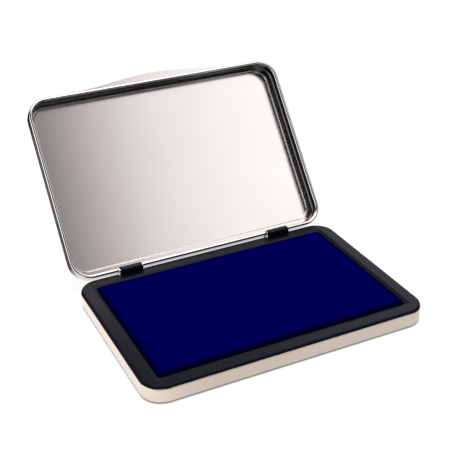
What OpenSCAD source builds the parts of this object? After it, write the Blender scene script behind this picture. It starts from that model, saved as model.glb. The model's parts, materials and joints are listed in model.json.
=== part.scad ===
// Hinged metal-cased ink pad: a pressed tray and lid, a moulded pad frame with two hinge
// lugs, and a cloth-covered felt pad. Millimetres, +Z up, the lid hinges at the back (+Y).
// The origin is the middle of the tray's underside.

/* [Case] */
// Width of the case, left to right
case_w = 124; // [110:1:150]
// Depth of the closed case, front to back
case_d = 84; // [74:1:110]
// Radius of the case corners seen from above
corner_r = 9; // [8:0.5:14]
// Thickness of the pressed sheet
sheet_t = 0.4; // [0.3:0.05:0.5]

/* [Tray] */
// Height of the tray wall
tray_h = 6.6; // [6.4:0.1:6.8]
// Radius where the tray floor turns up into the wall
tray_edge_r = 1.4; // [1:0.1:2]
// Width of the folded rim along the top of the tray wall
tray_hem_w = 0.75; // [0.7:0.05:0.85]

/* [Pad frame] */
// Width of the frame around the pad
border_w = 7; // [6.6:0.1:8]
// Height of the frame's top face above the ground
land_z = 7.8; // [7.7:0.1:8.2]
// Distance from the case edge to the frame's edge, which covers the tray rim
frame_inset = 0.15; // [0.1:0.05:0.25]
// Width of the bevel that leads down to the pad
bevel_w = 1.6; // [0.8:0.1:2.2]
// Depth of that bevel
bevel_h = 0.6; // [0.3:0.1:0.9]

/* [Pad] */
// Height of the inking surface above the ground
pad_z = 8.6; // [8:0.1:9.2]
// Gap between the pad and the frame all round
pad_gap = 0.2; // [0.1:0.05:0.4]
// Thickness of the cloth cover
cloth_t = 0.5; // [0.3:0.1:0.8]
// Rounding of the pad's edges and corners
pad_edge_r = 1.2; // [1:0.1:2]

/* [Lid] */
// Angle that the lid is opened to, from closed
lid_open = 129; // [0:1:129]
// Depth inside the lid, from its rim to the shoulder
lid_shoulder_h = 6.6; // [6.4:0.1:9]
// How far the middle panel is pressed out beyond the shoulder
panel_step = 0.9; // [0.8:0.1:1.6]
// Radius of the rolled rim
roll_r = 0.8; // [0.6:0.05:0.8]
// Distance from the lid edge to the panel step at the front and sides
step_inset = 2.6; // [2.4:0.1:3]
// The same distance on the hinge side
rear_step_inset = 3.8; // [3.6:0.1:4.4]
// How far the thumb lip stands out from the front edge
lip_out = 3.2; // [2:0.1:5]
// Length of the thumb lip along the front edge
lip_len = 84; // [50:1:90]

/* [Hinge] */
// Distance of each hinge lug from the middle of the case
lug_x = 36.5; // [30:0.5:40]
// Width of each hinge lug
lug_w = 9.6; // [8:0.1:12]
// Radius of the hinge pins
pin_r = 0.7; // [0.6:0.05:0.8]

/* [Hidden] */
$fn = 48;
eps = 0.01;

// Fits
tray_gap = 0.2;         // frame skirt to the folded tray rim
seat_gap = 0.05;        // frame above the tray rim
bore_gap = 0.05;        // hinge pin in a lug
press = 0.02;           // hinge pin in an ear
ear_gap = 0.3;          // lug to ear

// Levels
lid_rim_z = land_z;     // the closed lid's bead lies in the rounded edge of the frame
floor_z = sheet_t + 0.05;
well_t = 0.8;
felt_z = floor_z + well_t + 0.05;
plate_z = 5.2;          // underside of the frame's top plate
clamp_z = plate_z - 0.05;

// Pad frame outline
skirt_inset = tray_hem_w + tray_gap;
skirt_t = 1.3;
foot_r = 0.3;           // chamfer where the skirt stands in the tray's rounded edge
rim_z = tray_h + seat_gap;
frame_r = land_z - rim_z;   // rounding of the frame's outer edge
pad_w = case_w - 2 * border_w;
pad_d = case_d - 2 * border_w;

// Hinge axis: at the back edge, a little above the frame
hinge_y = case_d / 2 + 0.03;
hinge_z = land_z + 0.47;
lug_r = 2;
lug_top_z = hinge_z + 2.53;
lug_front_y = case_d / 2 - 3;
lug_back_y = hinge_y + 0.4;
lug_edge_r = 0.8;
ear_r = 1.75;
heel_r = 0.5;           // the heel of an ear stops the lid against the tray
heel_y = 1.75;
heel_z = 1.25;
notch_half = lug_w / 2 + ear_gap;
notch_top_z = hinge_z + 3.05;
tray_notch_half = notch_half + sheet_t + 0.9;
tray_notch_z = hinge_z - 2.75;
lug_foot_z = tray_notch_z + 0.05;
frame_notch_half = notch_half + sheet_t + 0.6;
frame_notch_y = hinge_y - ear_r - 0.24;

// Lid pressing, measured up from its rim while it is closed
bend_r = 1.3;           // outer bend between the lid wall and its shoulder
panel_z = lid_shoulder_h + panel_step;
step_w = 0.7;           // plan width of the step
lip_t = 0.9;
lip_steps = 32;

// Outline of a rounded rectangle
module rounded_rect(w, d, r) {
    square([w - 2 * r, d], center = true);
    square([w, d - 2 * r], center = true);
    for (x = [-1, 1], y = [-1, 1])
        translate([x * (w / 2 - r), y * (d / 2 - r)]) circle(r);
}

// A slab with the case outline, set in by a distance
module case_slab(inset, z0, z1) {
    translate([0, 0, z0]) linear_extrude(z1 - z0)
        rounded_rect(case_w - 2 * inset, case_d - 2 * inset, corner_r - inset);
}

// Carries a profile round a rounded rectangle. The profile's x runs inward from the
// edge and its y runs up.
module edge_sweep(w, d, r) {
    for (turn = [0:3]) {
        reach = (turn % 2 == 0 ? w : d) / 2;
        run = (turn % 2 == 0 ? d : w) - 2 * r;
        rotate([0, 0, 90 * turn]) {
            translate([reach, run / 2, 0]) rotate([90, 0, 0])
                linear_extrude(run) mirror([1, 0]) children();
            translate([reach - r, run / 2, 0]) rotate_extrude(angle = 90)
                translate([r, 0]) mirror([1, 0]) children();
        }
    }
}

module case_sweep() {
    edge_sweep(case_w, case_d, corner_r) children();
}

// Quarter of a ring: a bent stretch of sheet. sx and sy pick the quadrant.
module bend(x, y, outer, inner, sx, sy) {
    translate([x, y]) intersection() {
        difference() {
            circle(outer);
            circle(inner);
        }
        translate([sx > 0 ? 0 : -outer, sy > 0 ? 0 : -outer]) square(outer);
    }
}

// Places children at both hinge lugs
module at_lugs() {
    for (side = [-1, 1]) translate([side * lug_x, 0, 0]) children();
}

// A plate or bar that is drawn in the Y-Z plane and centred on X
module across(width) {
    translate([-width / 2, 0, 0]) rotate([90, 0, 90]) linear_extrude(width) children();
}

// Turns the closed lid about the hinge axis to its open position
module open_lid() {
    translate([0, hinge_y, hinge_z]) rotate([-lid_open, 0, 0])
        translate([0, -hinge_y, -hinge_z]) children();
}

module tray_profile() {
    bend(tray_edge_r, tray_edge_r, tray_edge_r, tray_edge_r - sheet_t, -1, -1);
    translate([0, tray_edge_r]) square([sheet_t, tray_h - tray_hem_w / 2 - tray_edge_r]);
    translate([0, tray_h - 2 * tray_hem_w]) square([tray_hem_w, 1.5 * tray_hem_w]);
    translate([tray_hem_w / 2, tray_h - tray_hem_w / 2]) circle(tray_hem_w / 2);
}

module base_tray() {
    color("gainsboro") difference() {
        union() {
            case_sweep() tray_profile();
            case_slab(tray_edge_r, 0, sheet_t);
        }
        at_lugs() translate([-tray_notch_half, case_d / 2 - 2, tray_notch_z])
            cube([2 * tray_notch_half, 4, tray_h]);
    }
}

well_inset = skirt_inset + skirt_t + 0.15;

module ink_well() {
    color("dimgray") {
        case_slab(well_inset, floor_z, floor_z + well_t);
        case_sweep() translate([well_inset, floor_z]) square([well_t, clamp_z - floor_z]);
    }
}

felt_inset = well_inset + well_t + 0.1;
block_w = pad_w - 2 * pad_gap - 2 * cloth_t;
block_d = pad_d - 2 * pad_gap - 2 * cloth_t;

// A block with its top edges and its upright edges rounded alike
module soft_block(w, d, z0, z1, r) {
    translate([0, 0, z0]) linear_extrude(z1 - r - z0) rounded_rect(w, d, r);
    translate([0, 0, z1 - r]) {
        linear_extrude(r) square([w - 2 * r, d - 2 * r], center = true);
        edge_sweep(w, d, r) translate([r, 0]) intersection() {
            circle(r);
            translate([-r, 0]) square(r);
        }
    }
}

module felt_block(z0) {
    soft_block(block_w, block_d, z0, pad_z - cloth_t, pad_edge_r - cloth_t);
}

module felt_core() {
    color("midnightblue") {
        case_slab(felt_inset, felt_z, clamp_z - cloth_t);
        felt_block(felt_z);
    }
}

module pad_cloth() {
    color("navy") difference() {
        union() {
            case_slab(felt_inset, clamp_z - cloth_t, clamp_z);
            soft_block(block_w + 2 * cloth_t, block_d + 2 * cloth_t, clamp_z - cloth_t,
                       pad_z, pad_edge_r);
        }
        felt_block(clamp_z - cloth_t - 1);
    }
}

// One hinge lug: a round-backed block that carries the pin
module lug_side() {
    translate([hinge_y, hinge_z]) circle(lug_r);
    translate([lug_front_y, lug_foot_z]) square([lug_back_y - lug_front_y,
                                                 lug_top_z - lug_edge_r - lug_foot_z]);
    translate([lug_front_y + lug_edge_r, lug_foot_z])
        square([lug_back_y - lug_front_y - 2 * lug_edge_r, lug_top_z - lug_foot_z]);
    for (y = [lug_front_y + lug_edge_r, lug_back_y - lug_edge_r])
        translate([y, lug_top_z - lug_edge_r]) circle(lug_edge_r);
}

// The skirt stands in the tray, with its outer corner cut to clear the tray's edge
module skirt_profile() {
    translate([skirt_inset, floor_z]) polygon([[foot_r, 0], [skirt_t, 0],
        [skirt_t, plate_z - floor_z], [0, plate_z - floor_z], [0, foot_r]]);
}

module frame_ring() {
    difference() {
        union() {
            case_sweep() skirt_profile();
            case_slab(skirt_inset, plate_z, rim_z);
            case_slab(frame_inset + frame_r, rim_z, land_z);
            case_sweep() translate([frame_inset + frame_r, rim_z])
                intersection() {
                    circle(frame_r);
                    translate([-frame_r, 0]) square([frame_r, frame_r]);
                }
        }
        translate([-pad_w / 2, -pad_d / 2, plate_z - 1]) cube([pad_w, pad_d, land_z]);
        translate([0, 0, land_z - bevel_h])
            linear_extrude(bevel_h + eps, scale = [1 + 2 * bevel_w / pad_w,
                                                   1 + 2 * bevel_w / pad_d])
                square([pad_w, pad_d], center = true);
        at_lugs() translate([-frame_notch_half, frame_notch_y, plate_z])
            cube([2 * frame_notch_half, 4, land_z]);
    }
}

module pad_frame() {
    color([0.16, 0.17, 0.18]) difference() {
        union() {
            frame_ring();
            at_lugs() across(lug_w) lug_side();
        }
        at_lugs() across(lug_w + 1) translate([hinge_y, hinge_z]) circle(pin_r + bore_gap);
    }
}

module lid_wall_profile() {
    translate([roll_r, roll_r]) circle(roll_r);
    translate([0, roll_r]) square([sheet_t, lid_shoulder_h + sheet_t - bend_r - roll_r]);
    bend(bend_r, lid_shoulder_h + sheet_t - bend_r, bend_r, bend_r - sheet_t, -1, 1);
}

// The step is two opposite bends, rising from the shoulder to the panel
module lid_step_profile() {
    outer = step_w / 2 + sheet_t / 2;
    inner = step_w / 2 - sheet_t / 2;
    rise = panel_step - step_w;
    bend(0, lid_shoulder_h + sheet_t + inner, outer, inner, 1, -1);
    translate([inner, lid_shoulder_h + sheet_t + inner]) square([sheet_t, rise + eps]);
    bend(step_w, panel_z - inner, outer, inner, -1, 1);
}

step_area_w = case_w - 2 * step_inset;
step_area_d = case_d - step_inset - rear_step_inset;
step_area_y = (step_inset - rear_step_inset) / 2;
step_area_r = corner_r - step_inset;

module lid_pressing() {
    case_sweep() lid_wall_profile();
    difference() {
        case_slab(bend_r, lid_shoulder_h, lid_shoulder_h + sheet_t);
        translate([0, step_area_y, lid_shoulder_h - 1]) linear_extrude(sheet_t + 2)
            rounded_rect(step_area_w, step_area_d, step_area_r);
    }
    translate([0, step_area_y, 0]) {
        edge_sweep(step_area_w, step_area_d, step_area_r) lid_step_profile();
        translate([0, 0, panel_z]) linear_extrude(sheet_t)
            rounded_rect(step_area_w - 2 * step_w, step_area_d - 2 * step_w,
                         step_area_r - step_w);
    }
}

// The thumb lip swells out of the front edge along a raised cosine
function lip_edge(i) =
    let (u = lip_len * (i / lip_steps - 0.5))
    [u, -case_d / 2 - lip_out * (1 + cos(360 * u / lip_len)) / 2];

module thumb_lip() {
    translate([0, 0, roll_r - lip_t / 2]) linear_extrude(lip_t)
        polygon(concat([for (i = [0:lip_steps]) lip_edge(i)],
                       [[lip_len / 2, roll_r - case_d / 2],
                        [-lip_len / 2, roll_r - case_d / 2]]));
}

// Two ears beside each lug, bent out of the notch, with a heel that stops the lid
module ear_side() {
    translate([hinge_y, hinge_z]) circle(ear_r);
    translate([hinge_y + heel_y, hinge_z + heel_z]) circle(heel_r);
    translate([case_d / 2 - sheet_t, hinge_z]) square([sheet_t + 0.6, notch_top_z - hinge_z]);
}

module lid_ears() {
    for (side = [-1, 1])
        translate([side * (notch_half + sheet_t / 2), 0, 0]) across(sheet_t) ear_side();
}

module lid_shell() {
    color("silver") open_lid() difference() {
        union() {
            difference() {
                translate([0, 0, lid_rim_z]) {
                    lid_pressing();
                    thumb_lip();
                }
                at_lugs() translate([-notch_half, case_d / 2 - 3, lid_rim_z - 1])
                    cube([2 * notch_half, 4, notch_top_z - lid_rim_z + 1]);
            }
            at_lugs() lid_ears();
        }
        at_lugs() for (side = [-1, 1])
            translate([side * (notch_half + sheet_t / 2), 0, 0])
                across(sheet_t + 2 * eps) translate([hinge_y, hinge_z]) circle(pin_r - press);
    }
}

module hinge_pin(side) {
    color("gray") translate([side * lug_x, 0, 0]) across(2 * (notch_half + sheet_t - eps))
        translate([hinge_y, hinge_z]) circle(pin_r);
}

module left_hinge_pin() { hinge_pin(-1); }
module right_hinge_pin() { hinge_pin(1); }

base_tray();
ink_well();
felt_core();
pad_cloth();
pad_frame();
lid_shell();
left_hinge_pin();
right_hinge_pin();
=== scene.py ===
"""Looks of the hinged, metal-cased ink pad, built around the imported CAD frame. Metres."""

import json
import math

import bmesh
import bpy
from mathutils import Matrix, Vector


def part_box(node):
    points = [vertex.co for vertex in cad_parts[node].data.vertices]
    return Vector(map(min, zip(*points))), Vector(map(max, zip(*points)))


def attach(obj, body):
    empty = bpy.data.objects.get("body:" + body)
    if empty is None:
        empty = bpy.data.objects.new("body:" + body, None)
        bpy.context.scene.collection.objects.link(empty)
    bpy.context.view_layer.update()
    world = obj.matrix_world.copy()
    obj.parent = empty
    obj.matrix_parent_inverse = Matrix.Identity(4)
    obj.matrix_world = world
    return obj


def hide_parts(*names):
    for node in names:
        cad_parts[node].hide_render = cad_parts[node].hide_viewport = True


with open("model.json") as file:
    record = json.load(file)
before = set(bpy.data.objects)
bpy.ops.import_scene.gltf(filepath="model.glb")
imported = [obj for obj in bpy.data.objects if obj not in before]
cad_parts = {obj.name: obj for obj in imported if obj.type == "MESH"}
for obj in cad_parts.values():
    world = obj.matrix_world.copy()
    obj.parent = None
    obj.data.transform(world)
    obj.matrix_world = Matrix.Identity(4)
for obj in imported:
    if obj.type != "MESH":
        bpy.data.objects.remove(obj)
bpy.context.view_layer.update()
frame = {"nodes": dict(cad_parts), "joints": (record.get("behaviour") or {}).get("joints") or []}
nodes = frame["nodes"]
MM = 0.001
LUG_TOP = 3 * MM  # how far the lugs stand above the frame's top face
lid_hinge = frame["joints"][0]


# Small helpers for node trees


class Tree:
    """A node tree that is written as expressions."""

    def __init__(self, tree):
        self.tree = tree
        tree.nodes.clear()

    def node(self, kind, inputs=(), **settings):
        made = self.tree.nodes.new(kind)
        for name, value in settings.items():
            setattr(made, name, value)
        for name, value in dict(inputs).items():
            self.feed(made.inputs[name], value)
        return made

    def feed(self, socket, value):
        if isinstance(value, bpy.types.NodeSocket):
            self.tree.links.new(value, socket)
        else:
            socket.default_value = value

    def math(self, operation, a, b=0.0):
        made = self.node("ShaderNodeMath", operation=operation)
        self.feed(made.inputs[0], a)
        self.feed(made.inputs[1], b)
        return made.outputs[0]

    def add(self, a, b):
        return self.math("ADD", a, b)

    def sub(self, a, b):
        return self.math("SUBTRACT", a, b)

    def mul(self, a, b):
        return self.math("MULTIPLY", a, b)

    def step(self, value, low, high, start=0.0, end=1.0):
        """Smooth change from start to end while value goes from low to high."""
        made = self.node(
            "ShaderNodeMapRange",
            interpolation_type="SMOOTHSTEP",
            inputs={"From Min": low, "From Max": high, "To Min": start, "To Max": end},
        )
        self.feed(made.inputs["Value"], value)
        return made.outputs["Result"]

    def mix(self, factor, a, b):
        """Colour a where factor is 0, b where it is 1."""
        made = self.node("ShaderNodeMix", data_type="RGBA")
        self.feed(made.inputs["Factor"], factor)
        self.feed(made.inputs[6], a)
        self.feed(made.inputs[7], b)
        return made.outputs[2]

    def noise(self, where, scale, detail=2.0, rough=0.5):
        made = self.node(
            "ShaderNodeTexNoise",
            inputs={"Vector": where, "Scale": scale, "Detail": detail, "Roughness": rough},
        )
        return made.outputs["Fac"]

    def vector_math(self, operation, a, b=(0.0, 0.0, 0.0)):
        made = self.node("ShaderNodeVectorMath", operation=operation)
        self.feed(made.inputs[0], a)
        self.feed(made.inputs[1], b)
        return made.outputs

    def stretched(self, where, factors):
        return self.vector_math("MULTIPLY", where, factors)["Vector"]

    def offset(self, where, start):
        return self.vector_math("SUBTRACT", where, start)["Vector"]

    def dot(self, a, b):
        return self.vector_math("DOT_PRODUCT", a, b)["Value"]

    def size(self, a):
        return self.vector_math("LENGTH", a)["Value"]

    def split(self, where):
        """X, Y and Z of a vector."""
        return self.node("ShaderNodeSeparateXYZ", inputs={"Vector": where}).outputs[:3]

    def place(self, kind="Object"):
        return self.node("ShaderNodeTexCoord").outputs[kind]

    def camera_ray(self):
        """1 for what the camera sees directly, 0 for light and reflections."""
        return self.node("ShaderNodeLightPath").outputs["Is Camera Ray"]

    def bump(self, height, distance, strength):
        made = self.node(
            "ShaderNodeBump",
            inputs={"Strength": strength, "Distance": distance, "Height": height},
        )
        return made.outputs["Normal"]


def material(name):
    """A new material, its node tree, its shader's inputs and the object's coordinates."""
    made = bpy.data.materials.new(name)
    made.use_nodes = True
    tree = Tree(made.node_tree)
    out = tree.node("ShaderNodeOutputMaterial")
    shader = tree.node("ShaderNodeBsdfPrincipled")
    tree.tree.links.new(shader.outputs[0], out.inputs["Surface"])
    return made, tree, shader.inputs, tree.place()


def rgb(r, g, b):
    return (r, g, b, 1.0)


# Materials


def lid_wall_shade_mask(t, place):
    """Mask of painted shade: 1 on the inner side of the lid's wall and on its shoulder's bend, 0
    elsewhere.
    """
    hinge, turn = Vector(lid_hinge["pos_m"]), math.radians(lid_hinge["range_deg"][1])
    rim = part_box("pad_frame")[1].z - LUG_TOP  # height of the closed lid's rim
    # the closed lid's upward and backward directions, on the open lid
    up = Vector((0.0, math.sin(turn), math.cos(turn)))
    back = Vector((0.0, math.cos(turn), -math.sin(turn)))
    depth = t.add(t.dot(place, up), hinge.z - rim - hinge.dot(up))
    middle = hinge - back * hinge.y + up * (rim - hinge.z)
    outward = t.dot(t.place("Normal"), t.offset(place, middle))
    facing_in = t.step(outward, -8 * MM, -25 * MM)
    reach = t.mul(t.step(depth, 1.3 * MM, 1.8 * MM), t.step(depth, 7.0 * MM, 6.6 * MM))
    return t.mul(facing_in, reach)


def tinned_sheet(name, tone, polish, painted_shade=None):
    """Bright tinned steel with a satin drawn grain along X, darkened by painted shade where the
    given mask says so.
    """
    made, t, s, place = material(name)
    cloud = t.noise(place, 24.0, 2.0)
    grain = t.noise(t.stretched(place, (60.0, 3200.0, 3200.0)), 1.0, 3.0, 0.6)
    fine = t.noise(t.stretched(place, (300.0, 9000.0, 9000.0)), 1.0, 2.0)
    dark = rgb(*(0.97 * c for c in tone))
    s["Metallic"].default_value = 1.0
    sheet = t.mix(t.step(cloud, 0.3, 0.7), dark, rgb(*tone))
    # painted shade: the sheet darkens to a quarter of its tone where the mask is 1
    if painted_shade is not None:
        shade_tone = rgb(*(0.25 * c for c in tone))
        sheet = t.mix(painted_shade(t, place), sheet, shade_tone)
    t.feed(s["Base Color"], sheet)
    t.feed(s["Roughness"], t.add(polish - 0.015, t.mul(grain, 0.03)))
    relief = t.add(t.mul(grain, 0.5), t.mul(fine, 0.5))
    t.feed(s["Normal"], t.bump(relief, 0.000006, 0.2))
    return made


def moulded_plastic(name, tone, gloss):
    """Black moulding with a fine spark-eroded skin, satin on top and matt at its sides."""
    made, t, s, place = material(name)
    skin = t.noise(place, 2600.0, 3.0, 0.6)
    patch = t.noise(place, 55.0, 2.0)
    light = rgb(*(1.5 * c for c in tone))
    t.feed(s["Base Color"], t.mix(t.step(patch, 0.3, 0.7), rgb(*tone), light))
    up = t.split(t.place("Normal"))[2]
    matt = t.step(up, 0.97, 0.8, 0.0, 0.5)
    rough = t.add(t.add(gloss, matt), t.mul(patch, 0.06))
    t.feed(s["Roughness"], t.add(rough, t.mul(skin, 0.05)))
    s["Specular IOR Level"].default_value = 0.1
    t.feed(s["Normal"], t.bump(skin, 0.000012, 0.4))
    return made


def inked_cloth(name, tone, half_sizes):
    """Plain-woven cloth, wet with ink, with painted shade that makes it darkest round the edge.
    """
    made, t, s, place = material(name)
    pitch = 0.42 * MM
    x, y, _ = t.split(place)
    across, along = t.mul(x, math.pi / pitch), t.mul(y, math.pi / pitch)
    warp = t.math("ABSOLUTE", t.math("SINE", across))
    weft = t.math("ABSOLUTE", t.math("SINE", along))
    shifted = [t.math("SINE", t.add(way, math.pi / 2)) for way in (across, along)]
    over = t.step(t.mul(*shifted), -0.6, 0.6)
    weave = t.add(t.mul(warp, over), t.mul(weft, t.sub(1.0, over)))
    fuzz = t.noise(place, 5200.0, 3.0, 0.6)
    pool = t.noise(place, 70.0, 3.0, 0.55)
    wet = t.step(pool, 0.42, 0.62)
    deep = rgb(*(0.8 * c for c in tone))
    cloth = t.mix(t.mul(weave, 0.5), deep, rgb(*tone))
    cloth = t.mix(t.mul(wet, 0.35), cloth, deep)
    to_edge = [t.sub(half, t.math("ABSOLUTE", way)) for way, half in zip((x, y), half_sizes)]
    rim = t.add(t.math("MINIMUM", *to_edge), t.mul(t.sub(pool, 0.5), 1.5 * MM))
    # painted shade: the cloth darkens towards near-black within about 3 mm of its edge
    edge_shade = t.step(rim, 0.3 * MM, 3.2 * MM, 0.85, 0.0)
    t.feed(s["Base Color"], t.mix(edge_shade, cloth, rgb(0.0, 0.0, 0.012)))
    t.feed(s["Roughness"], t.add(0.78, t.mul(t.sub(0.5, wet), 0.1)))
    s["Specular IOR Level"].default_value = 0.0
    relief = t.add(t.mul(weave, 0.8), t.mul(fuzz, 0.4))
    t.feed(s["Normal"], t.bump(relief, 0.00005, 0.5))
    return made


def felt(name, tone):
    """Needled felt full of ink."""
    made, t, s, place = material(name)
    fibre = t.noise(place, 3200.0, 5.0, 0.65)
    clump = t.noise(place, 420.0, 2.0)
    t.feed(s["Base Color"], t.mix(clump, rgb(*(0.6 * c for c in tone)), rgb(*tone)))
    t.feed(s["Roughness"], t.add(0.82, t.mul(fibre, 0.12)))
    s["Specular IOR Level"].default_value = 0.1
    t.feed(s["Normal"], t.bump(fibre, 0.0002, 0.7))
    return made


def drawn_wire(name, tone):
    """Steel pin with drawing lines along its length."""
    made, t, s, place = material(name)
    lines = t.noise(t.stretched(place, (90.0, 8000.0, 8000.0)), 1.0, 3.0, 0.6)
    s["Metallic"].default_value = 1.0
    t.feed(s["Base Color"], t.mix(lines, rgb(*(0.8 * c for c in tone)), rgb(*tone)))
    t.feed(s["Roughness"], t.add(0.28, t.mul(lines, 0.14)))
    t.feed(s["Normal"], t.bump(lines, 0.00001, 0.4))
    return made


# the lid carries painted shade on the inside of its wall
LID = tinned_sheet("case_metal", (0.63, 0.615, 0.605), 0.16, lid_wall_shade_mask)
TRAY = tinned_sheet("case_metal_warm", (0.7, 0.61, 0.53), 0.16)
FRAME = moulded_plastic("frame_plastic", (0.002, 0.003, 0.008), 0.3)
WELL = moulded_plastic("well_plastic", (0.02, 0.02, 0.022), 0.55)
FELT = felt("inked_felt", (0.004, 0.004, 0.1))
flange_low, flange_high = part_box("pad_cloth")
block = [v.co for v in nodes["pad_cloth"].data.vertices if v.co.z > flange_low.z + 2 * MM]
pad_x, pad_y, pad_top = (max(p[i] for p in block) for i in range(3))
CLOTH = inked_cloth("inked_cloth", (0.0, 0.0, 0.092), (pad_x, pad_y))
PIN = drawn_wire("pin_steel", (0.56, 0.55, 0.54))

for node, look in {
    "base_tray": TRAY,
    "lid_shell": LID,
    "pad_frame": FRAME,
    "ink_well": WELL,
    "felt_core": FELT,
    "pad_cloth": CLOTH,
    "left_hinge_pin": PIN,
    "right_hinge_pin": PIN,
}.items():
    for slot in nodes[node].material_slots:
        slot.material = look


# The inked pad: one cloth, drawn over the felt and held under the frame

LIFT = 0.32 * MM  # how far the felt may push the cloth up in the middle
RISE = 0.97 * LIFT  # how far it does
CLOTH_T = 0.12 * MM
EDGE_R = 1.15 * MM  # rounding of the pad's edges and corners


def pad_outline(half_x, half_y, radius, loop):
    """Puts a loop of points, given on the unit square, on a rounded rectangle."""
    placed = []
    for u, v in loop:
        x, y = u * half_x, v * half_y
        over_x, over_y = abs(x) - (half_x - radius), abs(y) - (half_y - radius)
        if over_x > 0 and over_y > 0:
            shrink = radius / math.hypot(over_x, over_y)
            x = math.copysign(half_x - radius + over_x * shrink, x)
            y = math.copysign(half_y - radius + over_y * shrink, y)
        placed.append((x, y))
    return placed


def drape(obj, held, frames=20):
    """Cloth pushed up from below, with the held vertices fixed; returns the new points."""
    group = obj.vertex_groups.new(name="held")
    group.add(held, 1.0, "REPLACE")
    cloth = obj.modifiers.new("cloth", "CLOTH")
    cloth.settings.quality = 6
    cloth.settings.mass = 0.05
    cloth.settings.tension_stiffness = cloth.settings.compression_stiffness = 25.0
    cloth.settings.bending_stiffness = 1.0
    cloth.settings.vertex_group_mass = "held"
    cloth.settings.use_pressure = True
    cloth.settings.uniform_pressure_force = 4.0
    cloth.settings.effector_weights.gravity = 0.0
    cloth.collision_settings.use_collision = False
    scene = bpy.context.scene
    for frame_number in range(1, frames + 1):
        scene.frame_set(frame_number)
    shaped = obj.evaluated_get(bpy.context.evaluated_depsgraph_get())
    points = [v.co.copy() for v in shaped.data.vertices]
    obj.modifiers.remove(cloth)
    obj.vertex_groups.remove(group)
    scene.frame_set(1)
    return points


def pad_rings(start, foot):
    """The pad's section, from its top outward: distance in from the edge, height, radius."""
    rings = [(inset * MM, start, EDGE_R) for inset in (3.2, 2.5, 1.9, 1.5)]
    arc = 8
    for k in range(arc + 1):
        turn = math.pi / 2 * k / arc
        inset = EDGE_R * (1 - math.sin(turn))
        rings.append((inset, start - EDGE_R * (1 - math.cos(turn)), EDGE_R))
    down = start - EDGE_R - foot
    rings += [(0.0, start - EDGE_R - down * k, EDGE_R) for k in (0.3, 0.6, 0.85)]
    reach = min(flange_high.x - pad_x, flange_high.y - pad_y) - 0.1 * MM
    rings += [(-out * reach, foot, EDGE_R + out * reach) for out in (0.12, 0.5, 1.0)]
    return rings


def pad_surface():
    """A grid on top, rounded edges, upright sides and a border; the last two are held."""
    start, foot = pad_top - LIFT, flange_low.z + 0.4 * MM
    margin, across, along = 4 * MM, 68, 42
    xs = [2 * i / across - 1 for i in range(across + 1)]
    ys = [2 * j / along - 1 for j in range(along + 1)]
    verts = [(x * (pad_x - margin), y * (pad_y - margin), start) for y in ys for x in xs]
    wide = across + 1
    faces = [
        (j * wide + i, j * wide + i + 1, (j + 1) * wide + i + 1, (j + 1) * wide + i)
        for j in range(along)
        for i in range(across)
    ]
    rim = [(i, 0) for i in range(across)] + [(across, j) for j in range(along)]
    rim += [(i, along) for i in range(across, 0, -1)] + [(0, j) for j in range(along, 0, -1)]
    loop = [(xs[i], ys[j]) for i, j in rim]
    last = [j * wide + i for i, j in rim]
    held = []
    for inset, z, radius in pad_rings(start, foot):
        ring = pad_outline(pad_x - inset, pad_y - inset, radius, loop)
        now = list(range(len(verts), len(verts) + len(ring)))
        verts += [(x, y, z) for x, y in ring]
        for k in range(len(now)):
            after = (k + 1) % len(now)
            faces.append((last[k], now[k], now[after], last[after]))
        if z < start - 1.5 * EDGE_R:
            held += now
        last = now
    return verts, faces, held


def inked_pad():
    """The crowned cloth, as a thin shell that takes the place of pad_cloth."""
    verts, faces, held = pad_surface()
    mesh = bpy.data.meshes.new("inked_pad")
    mesh.from_pydata(verts, [], faces)
    obj = bpy.data.objects.new("inked_pad", mesh)
    bpy.context.scene.collection.objects.link(obj)
    points = [Vector(v) for v in verts]
    shaped = drape(obj, held)
    rises = [max(0.0, b.z - a.z) for a, b in zip(points, shaped)]
    most = max(rises) or 1.0
    for p, rise in zip(points, rises):
        p.z += RISE * rise / most
    for vertex, p in zip(mesh.vertices, points):
        vertex.co = p
    made = bmesh.new()
    made.from_mesh(mesh)
    bmesh.ops.recalc_face_normals(made, faces=made.faces)
    made.to_mesh(mesh)
    made.free()
    shell = obj.modifiers.new("thickness", "SOLIDIFY")
    shell.thickness, shell.offset = CLOTH_T, -1.0
    mesh.shade_smooth()
    mesh.materials.append(CLOTH)
    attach(obj, "base")
    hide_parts("pad_cloth")


# Floor, light and camera

FLOOR_R = 0.35
FLOOR_SEEN = 0.92  # the glow that the camera sees
CASE_CORNER = 9 * MM  # radius of the tray's corners seen from above


def contact_shade(t, x, y):
    """1 on the open floor, less at the tray's foot and behind the tray, under the lid."""
    over = [
        t.math("MAXIMUM", t.sub(t.math("ABSOLUTE", way), reach - CASE_CORNER), 0.0)
        for way, reach in zip((x, y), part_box("base_tray")[1])
    ]
    to_tray = t.sub(t.math("SQRT", t.add(*(t.mul(way, way) for way in over))), CASE_CORNER)
    foot = t.step(to_tray, -0.8 * MM, 0.4 * MM, 0.2, 1.0)
    under = t.mul(t.step(y, 0.058, 0.044), t.step(t.math("ABSOLUTE", x), 0.058, 0.04))
    under = t.mul(under, t.step(y, 0.035, 0.044, 0.0, 0.45))
    return t.mul(foot, t.sub(1.0, under))


def mirrored_glow(t, x, y):
    """The glow for every ray but the camera's: brighter to the left, with a dark card
    beside the lid, whose reflection outlines the lid's left wall."""
    card = t.mul(t.step(x, -0.058, -0.064), t.step(y, 0.045, 0.065))
    return t.mul(t.step(x, -0.09, -0.03, 1.3, 0.72), t.sub(1.0, card))


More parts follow.
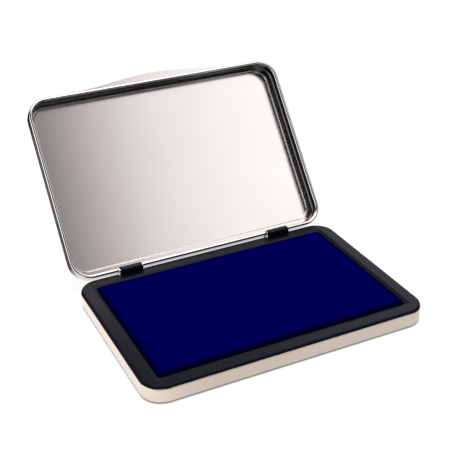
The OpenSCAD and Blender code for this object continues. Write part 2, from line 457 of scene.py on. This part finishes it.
def floor():
    """A pale round sheet whose edge fades out, lit evenly from below like a light table."""
    mesh = bpy.data.meshes.new("floor")
    made = bmesh.new()
    bmesh.ops.create_circle(made, cap_ends=True, radius=FLOOR_R, segments=96)
    made.to_mesh(mesh)
    made.free()
    obj = bpy.data.objects.new("floor", mesh)
    bpy.context.scene.collection.objects.link(obj)
    made, t, s, place = material("floor_paper")
    tooth = t.noise(place, 900.0, 3.0)
    t.feed(s["Base Color"], t.mix(tooth, rgb(0.1, 0.1, 0.1), rgb(0.12, 0.12, 0.12)))
    s["Roughness"].default_value = 0.9
    s["Specular IOR Level"].default_value = 0.0
    s["Emission Color"].default_value = rgb(1, 1, 1)
    x, y, _ = t.split(place)
    seen = t.camera_ray()
    glow = t.add(t.mul(seen, FLOOR_SEEN), t.mul(t.sub(1.0, seen), mirrored_glow(t, x, y)))
    t.feed(s["Emission Strength"], t.mul(glow, contact_shade(t, x, y)))
    # the sheet fades out round a point to the left of and behind the case's middle
    away = t.size(t.offset(place, (-0.05, 0.03, 0.0)))
    t.feed(s["Alpha"], t.step(away, 0.17, 0.26, 1.0, 0.0))
    mesh.materials.append(made)


def studio_light(t, x, y, z):
    """Strength of the light from the direction (x, y, z)."""
    behind = t.step(y, -0.3, 0.2)
    in_front = t.sub(1.0, behind)
    # high in front, the light grows to the right: the open lid's panel mirrors this part
    ramp = t.add(t.mul(t.step(x, 0.17, 0.34), 1.3), t.mul(t.step(x, 0.3, 0.5), 0.4))
    front_light = t.mul(t.step(z, 0.5, 0.62), t.add(0.03, ramp))
    back_light = t.add(0.25, t.mul(t.step(x, 0.1, 0.6), 1.3))
    sides = t.add(t.mul(behind, back_light), t.mul(in_front, front_light))
    sides = t.mul(sides, t.step(x, 0.7, 0.82, 1.0, 0.1))
    zenith = t.mul(t.step(z, 0.88, 0.96), 5.0)
    above = t.mul(t.add(sides, zenith), t.step(z, -0.08, 0.04))
    left_box = t.mul(t.step(x, -0.8, -0.9), t.step(z, -0.45, -0.3, 0.0, 1.8))
    low = t.mul(t.step(z, 0.42, 0.34, 0.0, 0.6), t.step(t.math("ABSOLUTE", x), 0.28, 0.14))
    return t.add(above, t.add(left_box, t.mul(in_front, low)))


def studio():
    """A soft studio by direction: lights behind, right, left and overhead, dark in front."""
    world = bpy.data.worlds.new("studio")
    bpy.context.scene.world = world
    world.use_nodes = True
    t = Tree(world.node_tree)
    x, y, z = t.split(t.place("Generated"))
    seen = t.camera_ray()
    strength = t.add(seen, t.mul(t.sub(1.0, seen), studio_light(t, x, y, z)))
    # the dim light high in the middle is a little red
    white = t.add(t.step(x, 0.1, 0.45), t.add(t.step(x, -0.4, -0.6), t.step(z, 0.5, 0.42)))
    white = t.math("MAXIMUM", seen, t.math("MINIMUM", white, 1.0))
    tint = t.mix(white, rgb(1.0, 0.86, 0.87), rgb(1, 1, 1))
    back = t.node("ShaderNodeBackground", inputs={"Color": tint, "Strength": strength})
    out = t.node("ShaderNodeOutputWorld")
    t.tree.links.new(back.outputs[0], out.inputs["Surface"])


def camera():
    data = bpy.data.cameras.new("camera")
    data.lens = 76.5
    data.sensor_width = 36.0
    data.clip_start, data.clip_end = 0.01, 20.0
    obj = bpy.data.objects.new("camera", data)
    bpy.context.scene.collection.objects.link(obj)
    azimuth, elevation, roll = (math.radians(a) for a in (-25.36, 28.09, -1.10))
    aim, distance = Vector((-0.01003, 0.0, 0.04354)), 0.3808
    back = Vector(
        (
            math.sin(azimuth) * math.cos(elevation),
            -math.cos(azimuth) * math.cos(elevation),
            math.sin(elevation),
        )
    )
    turn = (-back).to_track_quat("-Z", "Y").to_matrix() @ Matrix.Rotation(roll, 3, "Z")
    obj.matrix_world = Matrix.Translation(aim + distance * back) @ turn.to_4x4()
    bpy.context.scene.camera = obj


inked_pad()
floor()
studio()
camera()
bpy.context.scene.view_settings.view_transform = "Standard"
